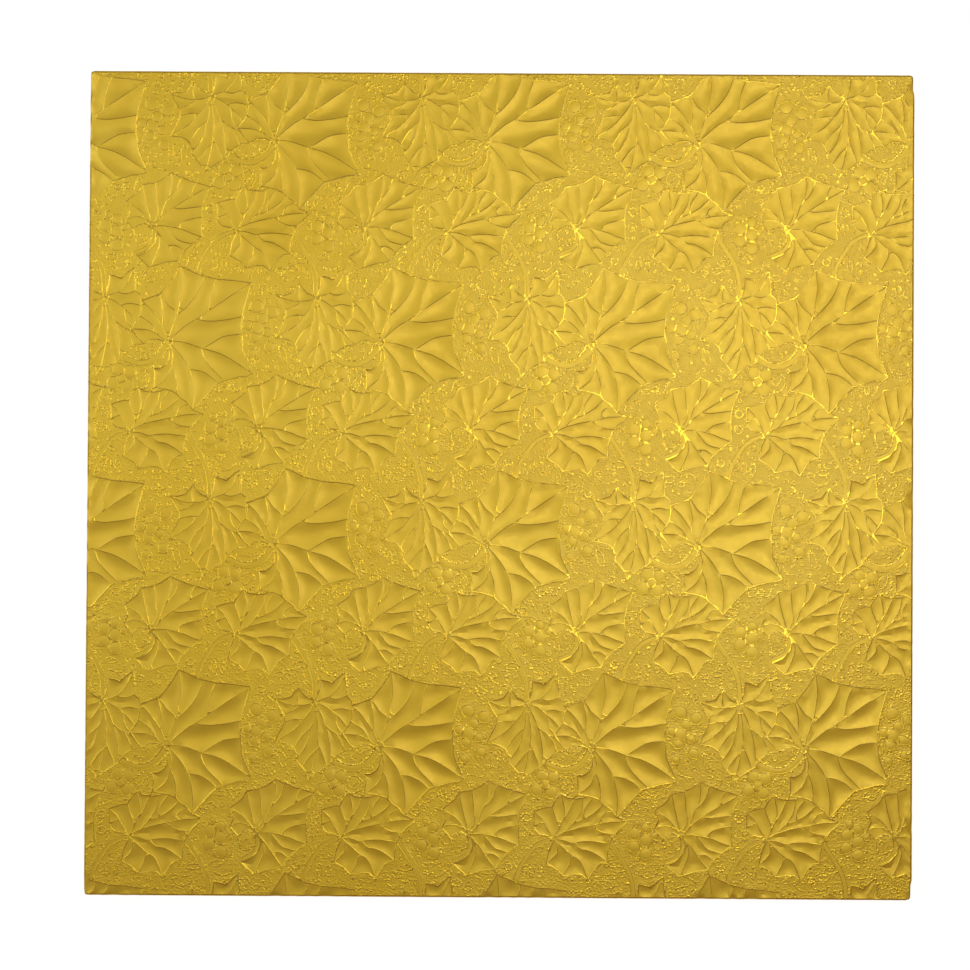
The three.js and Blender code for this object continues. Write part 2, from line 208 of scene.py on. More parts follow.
stalks = [
    (1.7, [(0, 0), (-1.2, -2.5), (-3.2, -4.9), (-6, -6.6), (-9, -6.9), (-12, -6), (-14.2, -4.8)]),
    (1.3, [(-19.8, 13.8), (-20, 18.5), (-20.6, 22), (-21.9, 25.1), (-23.9, 28.6), (-26.5, 32.5),
           (-26.9, 33.9)]),
    (1.2, [(-11.8, -28.2), (-14.7, -29), (-17.5, -30.7), (-19.5, -33.2), (-21.5, -36.5), (-22.7, -39),
           (-23.3, -41.5)]),
    (1.1, [(27.7, -27.3), (28.2, -30), (27, -32.8), (24.7, -34.2), (22.6, -35)]),
]
buds = [
    [
        (-13.6, -3.6), (-12.3, -2.4), (-10.5, -1.5), (-7.5, -1), (-5.7, 0.3), (-3, 0.5), (-1.3, -0.3),
        (-1.7, -1), (-3, -2.7), (-5, -4.9), (-7.3, -5.8), (-9.5, -5.8), (-11.8, -5),
    ],
    [
        (22, -27.7), (23.4, -26.6), (25.2, -26.1), (26.9, -26.8), (27.6, -28.2), (27.4, -30.5),
        (25, -32.2), (22.8, -32),
    ],
]
grapes = [
    (27.2, 10.9, 1.95), (32.1, 9.1, 1.9), (28.9, 7, 1.6), (24.5, 5, 1.5), (27.3, 4.1, 2),
    (30.5, 2.8, 1.4), (26.6, 1.3, 1.6), (31.2, -1.7, 1.6), (25.8, -3.7, 1.3), (-15.3, -8.9, 1.9),
    (-11.8, -9.5, 1.9), (-16.9, -13.1, 2), (-12.4, -13.8, 2), (-14.2, -11.6, 1.5), (13.3, -26.5, 1.9),
    (16.7, -24.7, 1.5), (14.1, -23.2, 1), (16.7, -28.4, 1.9), (19.3, -27, 1.1), (13.1, -30.3, 1.8),
    (16.8, -32.6, 1.9),
]
tendrils = [
    [
        (-9.3, -14.1), (-7.3, -14.5), (-5.9, -12.7), (-5.6, -10.9), (-6.6, -9.5), (-8.2, -9.2),
        (-9.4, -10.2), (-9.5, -11.8), (-8.6, -13), (-7.5, -11.8), (-6.8, -10.5),
    ],
    [(-30.5, 20.2), (-28, 18.8), (-25, 20)],
    [(-18, 23), (-15.5, 22.2), (-13, 23), (-12.5, 25)],
    [(18.4, -14.6), (21.5, -15.5), (23, -12.5), (24.5, -11.8)],
    [(13, -18), (14, -17.2), (15, -19)],
    [(-31.2, -1.6), (-29.4, -2.4), (-28.7, -5), (-28.9, -6.5), (-30.2, -6), (-31, -3.6), (-31.2, -1.6)],
    [(-0.6, 20.2), (-1.4, 21.6), (-3.2, 22.4)],
    [(26, -5), (27, -8.2), (29, -8.8), (32, -9.4)],
]
curls = [
    (-24.5, 24.8, 2.2, 0.9), (-26.9, 22.6, 1.8, 0.8), (-30.6, 21.8, 1.3, 0.8), (-17.6, 25.8, 1.7, 0.9),
    (-8.7, 20.3, 1.5, 1), (-5.3, 18.8, 1.2, 0.8), (14.2, 24, 0.8, 1.9), (16.9, 23.7, 0.8, 1.7),
    (16.8, -14.8, 1.4, 0.8), (19.6, -14, 1, 0.7), (11.3, -20.2, 1.2, 0.8), (-36.3, 17.2, 1.1, 1.1),
    (-33.7, 15.6, 1, 1), (-19.9, -21.5, 1.3, 1.3), (-19.9, -26.3, 1.3, 1.3), (-26.2, -10.5, 1, 1),
    (6.9, 25.3, 1.3, 1.1),
]


def curved(points, step):
    """Points at an even step along a smooth curve through the drawn ones."""
    knots = np.array([points[0], *points, points[-1]], float)
    t = np.linspace(0, 1, 9)[:-1, None]
    out = []
    for a, b, c, d in zip(knots, knots[1:], knots[2:], knots[3:]):
        bend, twist = 2 * a - 5 * b + 4 * c - d, 3 * b - a - 3 * c + d
        out.append(0.5 * (2 * b + (c - a) * t + bend * t**2 + twist * t**3))
    return spaced(np.vstack([*out, knots[-1:]]), step)


def spaced(line, step):
    """The same line with points at an even step, its ends kept."""
    run = np.r_[0, np.cumsum(np.linalg.norm(np.diff(line, axis=0), axis=1))]
    count = max(2, int(round(run[-1] / step)) + 1)
    at = np.linspace(0, run[-1], count)
    return np.c_[np.interp(at, run, line[:, 0]), np.interp(at, run, line[:, 1])]


def cornered(points, step):
    """A closed outline that keeps its corners, with points along its sides."""
    ring = np.array([*points, points[0]], float)
    sides = [spaced(ring[i:i + 2], step)[:-1] for i in range(len(ring) - 1)]
    return np.vstack([*sides, ring[-1:]])


def oval(x, y, rx, ry, count):
    """A closed oval of evenly turned points."""
    turn = np.linspace(0, 2 * math.pi, count + 1)
    return np.c_[x + rx * np.cos(turn), y + ry * np.sin(turn)]


def beside(line, offset):
    """A line that runs beside another at a distance."""
    way = np.gradient(line, axis=0)
    way /= np.linalg.norm(way, axis=1)[:, None]
    return line + offset * np.c_[-way[:, 1], way[:, 0]]


def reach_to(points, line):
    """How far each point is from a line."""
    best = np.full(len(points), far_off)
    for a, b in zip(line[:-1], line[1:]):
        ab = b - a
        t = np.clip((points - a) @ ab / max(ab @ ab, 1e-12), 0, 1)
        best = np.minimum(best, np.linalg.norm(points - a - t[:, None] * ab, axis=1))
    return best


def nearest(points, lines):
    """How far each point is from the nearest of several lines."""
    best = np.full(len(points), far_off)
    for line in lines:
        best = np.minimum(best, reach_to(points, line))
    return best


def within(points, ring):
    """Which points lie inside a closed outline."""
    x, y = points[:, 0], points[:, 1]
    inside = np.zeros(len(points), bool)
    for (ax, ay), (bx, by) in zip(ring[:-1], ring[1:]):
        if ay == by:
            continue
        crosses = (ay > y) != (by > y)
        inside ^= crosses & (x < (bx - ax) * (y - ay) / (by - ay) + ax)
    return inside


vein_lines = [curved(vein, line_step) for leaf in leaves.values() for vein in leaf["veins"]]
rim_rings = [cornered(leaf["rim"], line_step) for leaf in leaves.values()]
bud_rings = [cornered(bud, line_step) for bud in buds]
stalk_lines = [curved(points, line_step) for _, points in stalks]
stalk_sides = [
    beside(line, hand * width / 2)
    for line, (width, _) in zip(stalk_lines, stalks) for hand in (-1, 1)
]
grape_rings = [oval(x, y, r, r, 10) for x, y, r in grapes]
grape_crowns = [oval(x, y, r * crown_share, r * crown_share, 6) for x, y, r in grapes]
tendril_lines = [curved(points, line_step / 2) for points in tendrils] + [oval(*curl, 8) for curl in curls]
shifts = [i * repeat_right + j * repeat_down for i in (-1, 0, 1) for j in (-1, 0, 1)]


def in_repeats(points):
    """Places counted in repeats across and down from the unit's corner."""
    basis = np.array([repeat_right, repeat_down]).T
    return np.linalg.solve(basis, (points - cell_corner).T).T


def near_cell(line):
    """Whether a shifted line comes near the unit of the repeat."""
    uv = in_repeats(line)
    return (uv.max(0) > -near_share).all() and (uv.min(0) < 1 + near_share).all()


def copies(lines):
    """Each line in the unit and in the units round it, where it comes near the unit."""
    return [line + shift for line in lines for shift in shifts if near_cell(line + shift)]


all_veins, all_rims, all_buds = copies(vein_lines), copies(rim_rings), copies(bud_rings)
stalk_parts = [
    (line + shift, width)
    for line, (width, _) in zip(stalk_lines, stalks) for shift in shifts if near_cell(line + shift)
]
all_stalks, all_sides = [line for line, _ in stalk_parts], copies(stalk_sides)
all_rings, all_tendrils = copies(grape_rings), copies(tendril_lines)
all_grapes = [
    (np.array((x, y)) + shift, r)
    for x, y, r in grapes for shift in shifts if near_cell(oval(x, y, r, r, 8) + shift)
]


def split(points, edges):
    """Triangles between the points, with the edges kept."""
    made, _, faces, *_ = delaunay_2d_cdt([Vector(p) for p in points], edges, [], 0, same_point)
    return np.array([tuple(p) for p in made]), np.array([f for f in faces if len(f) == 3])


def unit_border():
    """The unit's four sides, with the points of opposite sides at the same places."""
    corners = [cell_corner, cell_corner + repeat_right, cell_corner + repeat_right + repeat_down,
               cell_corner + repeat_down]
    sides = []
    for a, b in zip(corners, corners[1:] + corners[:1]):
        ends = [a, b] if tuple(a) <= tuple(b) else [b, a]
        sides.append(spaced(np.array(ends), line_step))
    return sides


def ground_points(drawn):
    """Points in even rows that fill the unit between its drawn lines."""
    row_height = fill_step * math.sqrt(3) / 2
    xs = np.arange(*fill_rows, fill_step)
    rows = [np.c_[xs + (k % 2) * fill_step / 2, np.full(len(xs), cell_corner[1] - k * row_height)]
            for k in range(int(-repeat_down[1] / row_height) + 2)]
    fill = np.vstack(rows)
    uv = in_repeats(fill)
    edge = fill_clearance / cell_size
    fill = fill[((uv > edge) & (uv < 1 - edge)).all(1)]
    return fill[nearest(fill, drawn) > fill_clearance]


def unit_mesh():
    """The corners and triangles of one unit of the repeat, with edges along every crest and line."""
    drawn = unit_border() + all_veins + all_rims + all_buds + all_stalks + all_sides + all_rings
    drawn = drawn + copies(grape_crowns) + all_tendrils
    points, edges = [], []
    for line in drawn:
        start = len(points)
        points.extend(map(tuple, line))
        edges.extend((start + i, start + i + 1) for i in range(len(line) - 1))
    points.extend(map(tuple, ground_points(drawn)))
    points.extend(tuple(centre) for centre, _ in all_grapes)
    made, faces = split(points, edges)
    # A triangle that touches only lines gets a point in its middle, so that the sheet can sag there.
    bridging = faces[(nearest(made, drawn)[faces] < on_line).all(1)]
    middles = made[bridging].mean(1)
    points.extend(map(tuple, middles[nearest(middles, drawn) > middle_clearance]))
    made, faces = split(points, edges)
    middle = in_repeats(made[faces].mean(1))
    faces = faces[((middle > 0) & (middle < 1)).all(1)]
    used, faces = np.unique(faces, return_inverse=True)
    return made[used], faces.reshape(-1, 3)


def relief(points):
    """Each point's height, how far it is from a burnished line, and how far outside an outline."""
    on_leaf = np.zeros(len(points), bool)
    for ring in all_rims:
        on_leaf |= within(points, ring)
    # Between the two nearest crests of a leaf the foil sags, and the more the wider they stand apart.
    first = np.full(len(points), far_off)
    second = np.full(len(points), far_off)
    for line in all_veins + all_rims:
        far = reach_to(points, line)
        second = np.minimum(second, np.maximum(first, far))
        first = np.minimum(first, far)
    across = np.minimum(first + second, widest_span)
    share = np.minimum(first / np.maximum(across, 1e-6), 0.5)
    sag = np.minimum(across * trough_share, deepest_trough)
    fluted = crest_height - 4 * share * (1 - share) * sag
    rim = nearest(points, all_rims)
    touching = rim < touch
    height = np.where(on_leaf | touching, np.where(first < touch, crest_height, fluted), 0.0)
    side = np.where(on_leaf, -rim, rim)
    side[touching] = 0
    for ring in all_buds:
        inside = within(points, ring)
        rise = np.minimum(1, reach_to(points, ring) / bud_shoulder)
        height = np.where(inside & ~touching, bud_height * rise, height)
        side = np.where(inside, np.abs(side) + bud_side, side)
    for line, width in stalk_parts:
        far = reach_to(points, line)
        inside = far < width / 2 + touch
        round_over = np.sqrt(np.clip(1 - (far / (width / 2 + soft_edge)) ** 2, 0, 1))
        height = np.where(inside, stalk_height * round_over, height)
        side = np.where(inside, -np.maximum(width / 2 - far, 0), side)
    for centre, radius in all_grapes:
        far = np.linalg.norm(points - centre, axis=1)
        inside = far < radius + soft_edge
        dome = grape_height * np.sqrt(np.clip(1 - (far / (radius * grape_swell)) ** 2, 0, 1))
        height = np.where(inside, np.maximum(height, dome), height)
        side = np.where(inside, -np.maximum(radius - far, 0), side)
    # Veins, stalks and grapes are burnished in a thinner line than outlines and tendrils.
    full = nearest(points, all_rims + all_buds + all_tendrils)
    thin = nearest(points, all_veins + all_sides + all_rings) + vein_thinner
    return height, np.minimum(np.minimum(full, thin), line_reach), side


unit_points, unit_faces = unit_mesh()
unit_height, unit_line, unit_side = relief(unit_points)
unit_tree = BVHTree.FromPolygons(
    [(x, y, 0.0) for x, y in unit_points], [tuple(map(int, f)) for f in unit_faces], all_triangles=True)


def sampled(points):
    """The unit's height, line and side values at any places on the sheet, counted from the board's middle."""
    local = points - first_leaf
    uv = np.mod(in_repeats(local), 1.0)
    folded = uv @ np.array([repeat_right, repeat_down]) + cell_corner
    out = np.zeros((len(points), 3))
    values = np.c_[unit_height, unit_line, unit_side]
    for i, (x, y) in enumerate(folded):
        place, _, face, _ = unit_tree.find_nearest((x, y, 0.0))
        a, b, c = unit_faces[face]
        pa, pb, pc = unit_points[a], unit_points[b], unit_points[c]
        area = (pb[0] - pa[0]) * (pc[1] - pa[1]) - (pc[0] - pa[0]) * (pb[1] - pa[1])
        if abs(area) < 1e-9:
            out[i] = values[a]
            continue
        wb = ((place[0] - pa[0]) * (pc[1] - pa[1]) - (pc[0] - pa[0]) * (place[1] - pa[1])) / area
        wc = ((pb[0] - pa[0]) * (place[1] - pa[1]) - (place[0] - pa[0]) * (pb[1] - pa[1])) / area
        out[i] = (1 - wb - wc) * values[a] + wb * values[b] + wc * values[c]
    return out


# The foil wrap
# The embossed sheet laid over the board, pressed round its four edges and glued down underneath as hems
# that meet on the diagonals. Paper-backed foil about 0.3 mm thick, so it stays soft at every fold.
low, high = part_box("foil_wrap")
half_x = high[0] / MM
half_y = high[1] / MM
tuck_step = half_x - half_y  # how far the right side stands out past its tucked corners
tuck_end = 4.6
tuck_ramp = 1.6
corner_radius = 1.0
no_radius = 0.02  # where the inset has used the radius up
fold_radius = 0.6
foil = 0.3
grape_room = 0.17  # between the level ground and the solid's top
ground_z = high[2] / MM - grape_room
hem_z = low[2] / MM
hem_width = 20.6
edge_room = 1.7
flat_half = half_y - edge_room
spare = 1  # beyond the trim
turn_start = 0.35  # how far before the flat sheet's corners the rounding starts
first_run = 0.8  # sheet taken up before the fold starts
fold_steps = 2
wall_steps = 3
hem_step = 5.0
wall_share = 0.45  # of the embossing's height, on the walls
top_tilt = 0.6  # radians from facing up, where the full height ends
hem_tilt = 3.0  # and where the flat hem begins
core_inset = 0.6
weld = 0.01  # corners of neighbouring units that are nearer become one
cut_snap = 0.001
sliver = 0.02
crease_angle = math.radians(9)
loop_spacing = 2.5
pit_spacing = 0.65
grain_size = 1.1
tone_size = 60
gold_colours = ("#d5b229", "#dab932")


def flat_sheet():
    """The unit repeated over the top and trimmed square where the folds begin."""
    bm = bmesh.new()
    line_layer = bm.verts.layers.float.new("line_mm")
    side_layer = bm.verts.layers.float.new("side_mm")
    reach = flat_half + spare
    uv = in_repeats(np.array([(sx * reach, sy * reach) for sx in (-1, 1) for sy in (-1, 1)]) - first_leaf)
    low_uv, high_uv = np.floor(uv.min(0)).astype(int), np.ceil(uv.max(0)).astype(int)
    for i in range(low_uv[0], high_uv[0]):
        for j in range(low_uv[1], high_uv[1]):
            placed = unit_points + first_leaf + i * repeat_right + j * repeat_down
            keep = (np.abs(placed[unit_faces]).min(1) < reach).all(1)
            if not keep.any():
                continue
            made = {}
            for face in unit_faces[keep]:
                for k in face:
                    if k not in made:
                        v = bm.verts.new((placed[k, 0], placed[k, 1], unit_height[k]))
                        v[line_layer] = unit_line[k]
                        v[side_layer] = unit_side[k]
                        made[k] = v
                bm.faces.new([made[k] for k in face])
    bmesh.ops.remove_doubles(bm, verts=bm.verts, dist=weld)
    for axis in (Vector((1, 0, 0)), Vector((-1, 0, 0)), Vector((0, 1, 0)), Vector((0, -1, 0))):
        bmesh.ops.bisect_plane(
            bm, geom=bm.verts[:] + bm.edges[:] + bm.faces[:], plane_co=axis * flat_half, plane_no=axis,
            clear_outer=True, dist=cut_snap)
    bmesh.ops.dissolve_degenerate(bm, dist=sliver, edges=bm.edges)
    bmesh.ops.triangulate(bm, faces=bm.faces)
    return bm, line_layer, side_layer


def edge_loop(bm):
    """The sheet's trimmed edge as one ordered ring of corners, counter-clockwise."""
    following = {}
    for e in bm.edges:
        if len(e.link_faces) == 1:
            loop = e.link_loops[0]
            following[loop.vert] = loop.link_loop_next.vert
    start = next(iter(following))
    ring = [start]
    while following[ring[-1]] is not start:
        ring.append(following[ring[-1]])
    return ring


def outline_point(x, y, inset):
    """Where a point of the flat top's edge comes on the outline, drawn in by an inset, and its way out."""
    straight = flat_half - turn_start
    on_x = abs(x) >= abs(y)
    along, sign = (y, math.copysign(1, x)) if on_x else (x, math.copysign(1, y))
    inner = half_y - corner_radius
    if abs(along) <= straight:
        run = along * inner / straight
        turn = 0.0
    else:
        run = math.copysign(inner, along)
        turn = math.copysign((abs(along) - straight) / (flat_half - straight) * math.pi / 4, along)
    proud = 0.0
    if on_x and sign > 0:
        from_corner = half_y - abs(run)
        proud = tuck_step * min(1.0, max(0.0, (from_corner - tuck_end) / tuck_ramp))
    radius = max(corner_radius - inset, no_radius)
    pull = max(inset - corner_radius, 0.0)
    out = inner - pull + radius * math.cos(turn) + (0.0 if abs(turn) > 0 else proud)
    if abs(turn) > 0:
        side = math.copysign(inner - pull, along) + radius * math.sin(turn)
    else:
        side = run if pull == 0 else math.copysign(min(abs(run), inner), run) * (inner - pull) / inner
    place = (out * sign, side) if on_x else (side, out * sign)
    way = (math.cos(turn) * sign, math.sin(turn)) if on_x else (math.sin(turn), math.cos(turn) * sign)
    return np.array(place), np.array(way)


def profile():
    """The fold, wall, lower fold and hem in order: inset, height, outward tilt and run along the sheet."""
    rows, run = [], first_run
    fold_run = fold_radius * math.pi / 2
    for k in range(fold_steps + 1):
        a = k / fold_steps * math.pi / 2
        rows.append((fold_radius * (1 - math.sin(a)), ground_z - fold_radius * (1 - math.cos(a)), a, run))
        run += fold_run / fold_steps
    wall = ground_z - hem_z - 2 * fold_radius
    for k in range(1, wall_steps + 1):
        down = wall * k / wall_steps
        rows.append((0.0, ground_z - fold_radius - down, math.pi / 2, run + down))
    run += wall
    for k in range(1, fold_steps + 1):
        a = math.pi / 2 + k / fold_steps * math.pi / 2
        height = hem_z + fold_radius * (1 + math.cos(a))
        rows.append((fold_radius * (1 - math.sin(a)), height, a, run + k * fold_run / fold_steps))
    run += fold_run
    count = int(hem_width / hem_step)
    for k in range(1, count + 1):
        inset = fold_radius + (hem_width - fold_radius) * k / count
        rows.append((inset, hem_z, math.pi, run + inset - fold_radius))
    return rows


def pressed_share(tilt):
    """How much embossing is left: all on the top, some on the pressed walls, none on the glued hems."""
    if tilt < top_tilt:
        return 1.0
    return wall_share if tilt < hem_tilt else 0.0


def wrap_edges(bm, line_layer, side_layer):
    """Rows of the sheet from the trimmed top round the edge to the hem, then the plain inner face."""
    ring = edge_loop(bm)
    flat = np.array([(v.co.x, v.co.y) for v in ring])
    rows = profile()
    previous = ring
    for inset, z, tilt, run in rows:
        placed = [outline_point(x, y, inset) for x, y in flat]
        spots = np.array([p for p, _ in placed])
        ways = np.array([w for _, w in placed])
        sheet_place = spots + ways * (run + inset)
        values = sampled(sheet_place)
        share = pressed_share(tilt)
        now = []
        for (x, y), (wx, wy), (up, line, side) in zip(spots, ways, values):
            out = up * share * math.sin(tilt)
            v = bm.verts.new((x + wx * out, y + wy * out, z + up * share * math.cos(tilt)))
            v[line_layer] = line
            v[side_layer] = side
            now.append(v)
        join(bm, previous, now)
        previous = now
    core_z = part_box("core_board")[1][2] / MM
    inner = [(hem_width, hem_z + foil), (core_inset, hem_z + foil), (core_inset, core_z)]
    for inset, z in inner:
        now = []
        for x, y in flat:
            place, _ = outline_point(x, y, inset)
            v = bm.verts.new((place[0], place[1], z))
            v[line_layer] = line_reach
            v[side_layer] = line_reach
            now.append(v)
        join(bm, previous, now)
        previous = now
    bm.faces.new(previous)


def join(bm, upper, lower):
    """A band of faces between two rings of the same count, facing out."""
    count = len(upper)
    for i in range(count):
        k = (i + 1) % count
        bm.faces.new((upper[k], upper[i], lower[i], lower[k]))


def new_piece(name, bm):
    """A mesh object from the sheet in millimetres, with soft shading and its crests kept sharp."""
    bmesh.ops.triangulate(bm, faces=[f for f in bm.faces if len(f.verts) > 4])
    bmesh.ops.recalc_face_normals(bm, faces=bm.faces)
    for f in bm.faces:
        f.smooth = True
    for e in bm.edges:
        if len(e.link_faces) == 2 and e.calc_face_angle(0) > crease_angle:
            e.smooth = False
    for v in bm.verts:
        v.co *= MM
    mesh = bpy.data.meshes.new(name)
    bm.to_mesh(mesh)
    bm.free()
    obj = bpy.data.objects.new(name, mesh)
    bpy.context.collection.objects.link(obj)
    return obj


sheet, line_layer, side_layer = flat_sheet()
for v in sheet.verts:
    v.co.z += ground_z
wrap_edges(sheet, line_layer, side_layer)
foil_piece = new_piece("embossed_foil", sheet)


def linear(hex_colour):
    """An sRGB hex colour as the linear values that the shader takes."""
    parts = [int(hex_colour[i:i + 2], 16) / 255 for i in (1, 3, 5)]
    return [c / 12.92 if c <= 0.04045 else ((c + 0.055) / 1.055) ** 2.4 for c in parts] + [1.0]


def node(tree, kind, settings=None, links=None):
    """Adds a node, sets its properties and sockets, and links the sockets that others feed."""
    made = tree.nodes.new(kind)
    for key, value in (settings or {}).items():
        if isinstance(key, str) and hasattr(made, key):
            setattr(made, key, value)
        else:
            made.inputs[key].default_value = value
    for key, source in (links or {}).items():
        tree.links.new(source, made.inputs[key])
    return made


def blank(name):
    """A new material with an empty node tree."""
    material = bpy.data.materials.new(name)
    material.use_nodes = True
    tree = material.node_tree
    tree.nodes.clear()
    return material, tree


def gold_foil():
    """Gold lacquered aluminium foil on paper: a satin metal, bright where the roller's lines burnished it."""
    material, tree = blank("gold_foil_embossed")
    coords = node(tree, "ShaderNodeTexCoord").outputs["Object"]
    line = node(tree, "ShaderNodeAttribute", {"attribute_name": "line_mm"}).outputs["Fac"]
    side = node(tree, "ShaderNodeAttribute", {"attribute_name": "side_mm"}).outputs["Fac"]
    ground = node(tree, "ShaderNodeMapRange", {"From Min": 0.02, "From Max": 0.12},
                  {"Value": side}).outputs[0]
    drawn = node(tree, "ShaderNodeMapRange",
                 {"interpolation_type": "SMOOTHSTEP", "From Min": 0.07, "From Max": 0.24, "To Min": 1.0,
                  "To Max": 0.0},
                 {"Value": line}).outputs[0]
    # Small loops like pen curls fill the ground, each about 1.5 mm wide.
    loop = node(tree, "ShaderNodeTexVoronoi", {"Scale": 1 / (loop_spacing * MM), "Randomness": 0.55},
                {"Vector": coords})
    loop = node(tree, "ShaderNodeMath", {"operation": "SUBTRACT", 1: 0.28}, {0: loop.outputs[0]}).outputs[0]
    loop = node(tree, "ShaderNodeMath", {"operation": "ABSOLUTE"}, {0: loop}).outputs[0]
    loop = node(tree, "ShaderNodeMapRange",
                {"From Min": 0.02, "From Max": 0.08, "To Min": 0.85, "To Max": 0.0},
                {"Value": loop}).outputs[0]
    loop = node(tree, "ShaderNodeMath", {"operation": "MULTIPLY"}, {0: loop, 1: ground}).outputs[0]
    burnished = node(tree, "ShaderNodeMath", {"operation": "MAXIMUM"}, {0: loop, 1: drawn}).outputs[0]
    # Pits stipple the ground, coarser than the real ones so that they show, over the paper's faint grain.
    pit = node(tree, "ShaderNodeTexVoronoi", {"Scale": 1 / (pit_spacing * MM), "Randomness": 0.9},
               {"Vector": coords}).outputs[0]
    grain = node(tree, "ShaderNodeTexNoise", {"Scale": 1 / (grain_size * MM), "Detail": 3.0},
                 {"Vector": coords}).outputs[0]
    pits = node(tree, "ShaderNodeMath", {"operation": "MULTIPLY"}, {0: pit, 1: ground}).outputs[0]
    ridge_bump = node(tree, "ShaderNodeBump", {"Strength": 1.0, "Distance": 0.03 * MM}, {"Height": burnished})
    stipple_bump = node(tree, "ShaderNodeBump", {"Strength": 1.0, "Distance": 0.08 * MM},
                        {"Height": pits, "Normal": ridge_bump.outputs[0]})
    grain_bump = node(tree, "ShaderNodeBump", {"Strength": 1.0, "Distance": 0.02 * MM},
                      {"Height": grain, "Normal": stipple_bump.outputs[0]})
    satin = node(tree, "ShaderNodeMapRange",
                 {"From Min": 0.3, "From Max": 0.7, "To Min": 0.38, "To Max": 0.45},
                 {"Value": grain}).outputs[0]
    rough = node(tree, "ShaderNodeMix", {"data_type": "FLOAT", "B": 0.21},
                 {"Factor": burnished, "A": satin}).outputs[0]
    # The lacquer's tone drifts slightly from place to place.
    broad = node(tree, "ShaderNodeTexNoise", {"Scale": 1 / (tone_size * MM), "Detail": 1.0},
                 {"Vector": coords}).outputs[0]
    tone = node(tree, "ShaderNodeMapRange", {"From Min": 0.3, "From Max": 0.7}, {"Value": broad}).outputs[0]
    deep, pale = gold_colours
    colour = node(tree, "ShaderNodeMix", {"data_type": "RGBA", "A": linear(deep), "B": linear(pale)},
                  {"Factor": tone}).outputs[2]
    shader = node(tree, "ShaderNodeBsdfPrincipled",
                  {"Metallic": 1.0, "Coat Weight": 0.5, "Coat Roughness": 0.30},
                  {"Base Color": colour, "Roughness": rough, "Normal": grain_bump.outputs[0]})
    node(tree, "ShaderNodeOutputMaterial", links={"Surface": shader.outputs[0]})
    return material


foil_piece.data.materials.append(gold_foil())
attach(foil_piece, "root")
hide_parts("foil_wrap")

# The core board
# A stiff pad of kraft corrugated board, die cut square. It is wholly inside the wrap and the liner.
wave_unit = 80
fibre_size = 0.8
kraft_colours = ("#9b7d55", "#b3946a")


def kraft_board():
    """Brown kraft paper: matt and fibrous, with faint waves about 25 mm apart."""
    material, tree = blank("kraft_corrugated_board")
    coords = node(tree, "ShaderNodeTexCoord").outputs["Object"]
    # The node draws 3.2 waves in each unit.
    waves = node(tree, "ShaderNodeTexWave",
                 {"bands_direction": "X", "Scale": 1 / (wave_unit * MM), "Distortion": 0.4},
                 {"Vector": coords}).outputs[0]
    fibres = node(tree, "ShaderNodeTexNoise", {"Scale": 1 / (fibre_size * MM), "Detail": 4.0},
                  {"Vector": coords}).outputs[0]
    dark, light = kraft_colours
    colour = node(tree, "ShaderNodeMix", {"data_type": "RGBA", "A": linear(dark), "B": linear(light)},
                  {"Factor": fibres}).outputs[2]
    bump = node(tree, "ShaderNodeBump", {"Strength": 0.4, "Distance": 0.1 * MM}, {"Height": waves}).outputs[0]
    shader = node(tree, "ShaderNodeBsdfPrincipled", {"Roughness": 0.88},
                  {"Base Color": colour, "Normal": bump})
    node(tree, "ShaderNodeOutputMaterial", links={"Surface": shader.outputs[0]})
    return material


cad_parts["core_board"].material_slots[0].material = kraft_board()

# The base paper
# A plain white liner glued over the raw edges of the hems, uncoated and slightly wavy from the glue.
cloud_size = 6
cockle_size = 35
pulp_size = 0.6
paper_colours = ("#e6e2d8", "#efece4")


def liner_paper():
    """Uncoated white paper: matt, with soft fibre clouds and a faint cockle where the glue dried."""
    material, tree = blank("uncoated_liner_paper")
    coords = node(tree, "ShaderNodeTexCoord").outputs["Object"]
    clouds = node(tree, "ShaderNodeTexNoise", {"Scale": 1 / (cloud_size * MM), "Detail": 5.0},
                  {"Vector": coords}).outputs[0]
    cockle = node(tree, "ShaderNodeTexNoise", {"Scale": 1 / (cockle_size * MM), "Detail": 2.0},
                  {"Vector": coords}).outputs[0]
    pulp = node(tree, "ShaderNodeTexNoise", {"Scale": 1 / (pulp_size * MM), "Detail": 3.0},
                {"Vector": coords}).outputs[0]
    shaded, clean = paper_colours
    colour = node(tree, "ShaderNodeMix", {"data_type": "RGBA", "A": linear(shaded), "B": linear(clean)},
                  {"Factor": clouds}).outputs[2]
    wave = node(tree, "ShaderNodeBump", {"Strength": 1.0, "Distance": 0.6 * MM}, {"Height": cockle})
    bump = node(tree, "ShaderNodeBump", {"Strength": 0.6, "Distance": 0.03 * MM},
                {"Height": pulp, "Normal": wave.outputs[0]}).outputs[0]
    shader = node(tree, "ShaderNodeBsdfPrincipled", {"Roughness": 0.82},
                  {"Base Color": colour, "Normal": bump})
    node(tree, "ShaderNodeOutputMaterial", links={"Surface": shader.outputs[0]})
    return material


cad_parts["base_paper"].material_slots[0].material = liner_paper()

# The floor
# A plain white table, a hair under the board. The camera and the foil's reflections see it as plain white.
# It glows a little so that the liner shows from below, where the table itself is clear.
floor_half = 2.0
floor_gap = 0.5
floor_mesh = bpy.data.meshes.new("floor")
floor_mesh.from_pydata(
    [(-floor_half, -floor_half, 0), (floor_half, -floor_half, 0), (floor_half, floor_half, 0),
     (-floor_half, floor_half, 0)], [], [(0, 1, 2, 3)])
floor = bpy.data.objects.new("floor", floor_mesh)
floor.location.z = -floor_gap * MM
bpy.context.collection.objects.link(floor)


